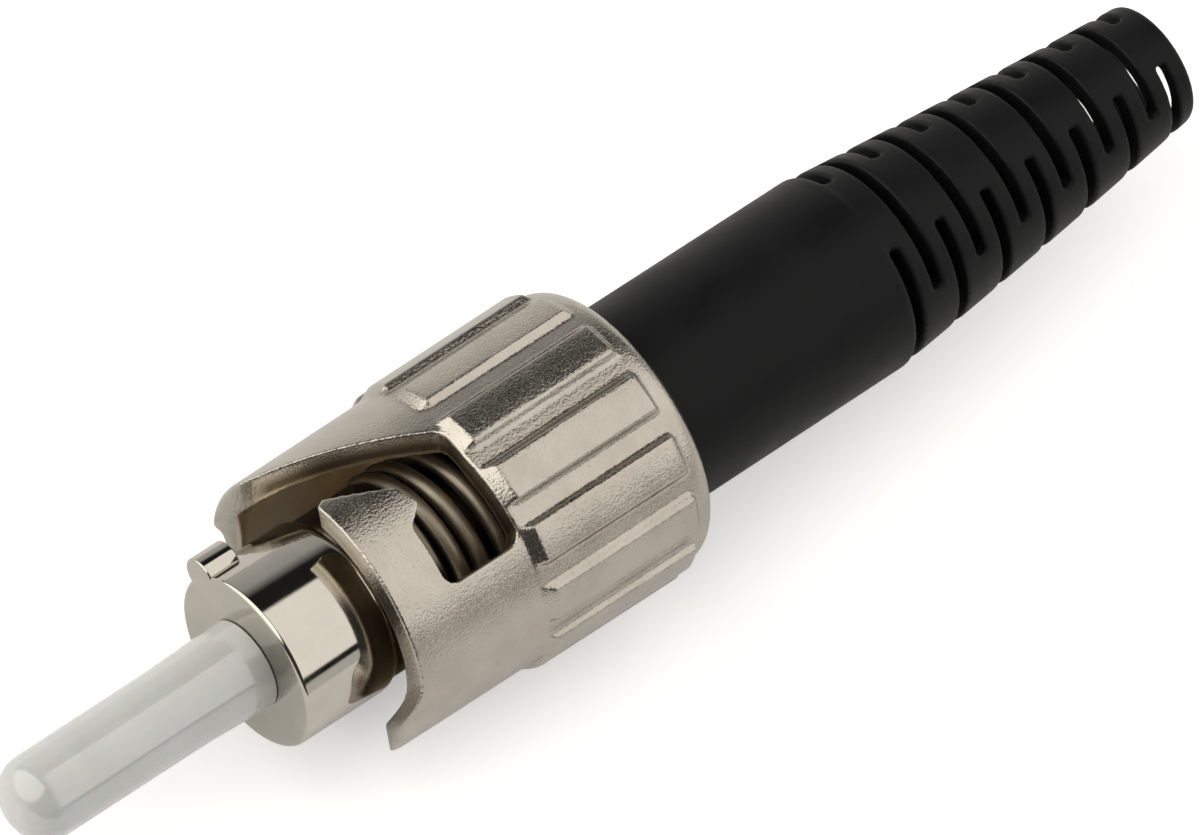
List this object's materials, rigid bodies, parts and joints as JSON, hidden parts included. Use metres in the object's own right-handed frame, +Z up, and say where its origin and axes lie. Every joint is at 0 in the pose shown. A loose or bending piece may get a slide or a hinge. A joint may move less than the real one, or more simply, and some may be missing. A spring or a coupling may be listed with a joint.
{
  "type": "st fibre connector",
  "caption": "Bayonet fibre-optic cable connector with a capped ceramic ferrule, a keyed metal barrel, a sprung coupling nut with ramped slots, and a slotted rubber boot.",
  "frame": {"origin": "on the connector's axis, at the front face of the body's barrel, where the ferrule comes out", "axes": "+X along the connector's axis towards the cable boot, +Z up with the connector lying on two grip pads"},
  "size_m": [0.0462, 0.0102, 0.0102],
  "materials": {
    "cap_plastic": "milky translucent soft plastic",
    "ceramic": "polished white zirconia",
    "bright_nickel": "bright nickel plate on turned brass",
    "satin_nickel": "satin nickel plate on a cast nut with a fine grain",
    "spring_steel": "drawn stainless wire",
    "washer_steel": "stamped stainless steel",
    "guide_plastic": "natural nylon",
    "crimp_metal": "nickel-plated annealed brass",
    "boot_rubber": "matte black moulded rubber"
  },
  "bodies": {
    "connector": {"ferrule": "ceramic", "connector_body": "bright_nickel", "compression_spring": "spring_steel", "rear_washer": "washer_steel", "retaining_ring": "washer_steel", "fibre_guide_tube": "guide_plastic", "crimp_sleeve": "crimp_metal", "boot": "boot_rubber"},
    "spring_seat": {"front_washer": "washer_steel"},
    "nut": {"coupling_nut": "satin_nickel"},
    "cap": {"dust_cap": "cap_plastic"}
  },
  "joints": [
    {"name": "nut_push", "type": "slide", "parent": "connector", "child": "spring_seat", "axis": [-1, 0, 0], "range_m": [0, 0.002], "stiffness_N_per_m": 2000, "springref_m": -0.001, "deforming": ["compression_spring"]},
    {"name": "nut_turn", "type": "hinge", "parent": "spring_seat", "child": "nut", "pos_m": [0, 0, 0], "axis": [1, 0, 0], "continuous": true},
    {"name": "cap_pull", "type": "slide", "parent": "connector", "child": "cap", "axis": [-1, 0, 0], "range_m": [0, 0.0095]}
  ]
}
